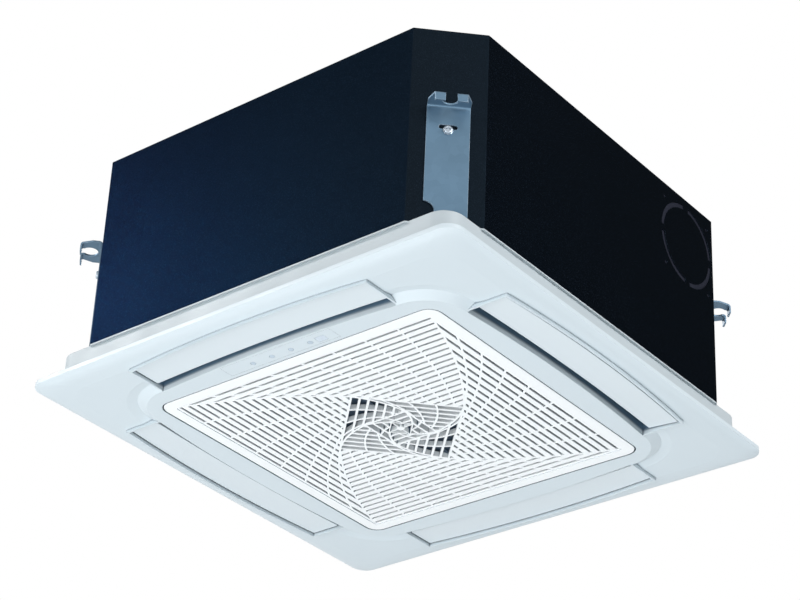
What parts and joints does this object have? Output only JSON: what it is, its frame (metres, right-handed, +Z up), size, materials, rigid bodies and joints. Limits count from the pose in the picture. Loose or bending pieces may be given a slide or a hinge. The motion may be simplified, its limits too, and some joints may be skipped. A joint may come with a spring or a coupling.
{
  "type": "ceiling cassette air conditioner",
  "caption": "Square four-way ceiling cassette unit: white panel with a whirl intake grille and swinging vanes under a dark cut-corner casing with hanging brackets.",
  "frame": {"origin": "centre of the four hanging holes, mid-thickness of their tabs", "axes": "+Z up along the hanging rods; front (-Y) is the panel side with the indicator lamps; +X is the side with the duct knock-out"},
  "size_m": [0.643, 0.634, 0.3089],
  "materials": {
    "panel_white": "fine matte moulded plastic, white",
    "vane_white": "satin white plastic",
    "grille_white": "fine matte white plastic",
    "base_plastic": "pale blue-grey plastic",
    "lens_clear": "frosted clear lens",
    "window_dark": "dark glossy window",
    "circuit_board": "green board",
    "powder_coat": "dark speckled powder coat",
    "galvanised": "galvanised sheet",
    "zinc_screw": "zinc plated",
    "foam_white": "expanded foam",
    "foam_black": "closed-cell insulation foam",
    "fins": "bare fin stock",
    "copper_tube": "copper tube",
    "brass_fitting": "machined brass",
    "fan_plastic": "dark grey moulded plastic",
    "motor_can": "black painted steel",
    "rubber_black": "rubber",
    "filter_plastic": "dark plastic",
    "filter_net": "woven net",
    "hose_grey": "flexible hose",
    "pump_white": "moulded plastic",
    "steel_shaft": "ground steel"
  },
  "bodies": {
    "unit": {"base_frame": "base_plastic", "bell_mouth": "fan_plastic", "cable_grommet": "rubber_black", "case_screws": "zinc_screw", "casing": "powder_coat", "coil_bends": "copper_tube", "coil_end_plates": "galvanised", "coil_fins": "fins", "control_board": "circuit_board", "control_box": "galvanised", "control_cover": "galvanised", "display_board": "circuit_board", "display_plate": "panel_white", "drain_hose": "hose_grey", "drain_pan": "foam_white", "drain_pump": "pump_white", "drain_spigot": "pump_white", "fan_motor": "motor_can", "float_switch": "pump_white", "gas_pipe": "copper_tube", "gas_union": "brass_fitting", "grille_latches": "panel_white", "hanger_brackets": "galvanised", "hanger_screws": "zinc_screw", "indicator_lenses": "lens_clear", "liquid_pipe": "copper_tube", "liquid_union": "brass_fitting", "motor_bushes": "rubber_black", "motor_studs": "zinc_screw", "mouth_screws": "zinc_screw", "panel_frame": "panel_white", "panel_screws": "zinc_screw", "panel_seal": "foam_black", "pipe_plate": "galvanised", "pipe_plate_screws": "zinc_screw", "pump_bracket": "galvanised", "receiver_window": "window_dark", "side_liner": "foam_black", "terminal_block": "pump_white", "top_liner": "foam_black", "top_plate": "powder_coat", "vane_bushes": "pump_white", "vane_motors": "pump_white"},
    "fan": {"turbo_fan": "fan_plastic", "fan_boss": "steel_shaft", "fan_shaft": "steel_shaft", "fan_nut": "zinc_screw"},
    "grille": {"intake_grille": "grille_white", "grille_pins": "steel_shaft", "air_filter_frame": "filter_plastic", "air_filter_mesh": "filter_net"},
    "float": {"float_ring": "pump_white"},
    "vane_front_body": {"vane_front": "vane_white", "vane_front_shaft": "steel_shaft"},
    "vane_right_body": {"vane_right": "vane_white", "vane_right_shaft": "steel_shaft"},
    "vane_back_body": {"vane_back": "vane_white", "vane_back_shaft": "steel_shaft"},
    "vane_left_body": {"vane_left": "vane_white", "vane_left_shaft": "steel_shaft"}
  },
  "joints": [
    {"name": "fan_spin", "type": "hinge", "parent": "unit", "child": "fan", "pos_m": [0, 0, 0.03], "axis": [0, 0, 1], "continuous": true},
    {"name": "grille_hinge", "type": "hinge", "parent": "unit", "child": "grille", "pos_m": [0, 0.19, -0.1995], "axis": [1, 0, 0], "range_deg": [0, 85]},
    {"name": "float_slide", "type": "slide", "parent": "unit", "child": "float", "axis": [0, 0, 1], "range_m": [0, 0.01]},
    {"name": "vane_front_hinge", "type": "hinge", "parent": "unit", "child": "vane_front_body", "pos_m": [0, -0.255, -0.183], "axis": [1, 0, 0], "range_deg": [0, 60]},
    {"name": "vane_right_hinge", "type": "hinge", "parent": "unit", "child": "vane_right_body", "pos_m": [0.255, 0, -0.183], "axis": [0, 1, 0], "range_deg": [-5, 55]},
    {"name": "vane_back_hinge", "type": "hinge", "parent": "unit", "child": "vane_back_body", "pos_m": [0, 0.255, -0.183], "axis": [-1, 0, 0], "range_deg": [0, 60]},
    {"name": "vane_left_hinge", "type": "hinge", "parent": "unit", "child": "vane_left_body", "pos_m": [-0.255, 0, -0.183], "axis": [0, -1, 0], "range_deg": [0, 60]}
  ]
}
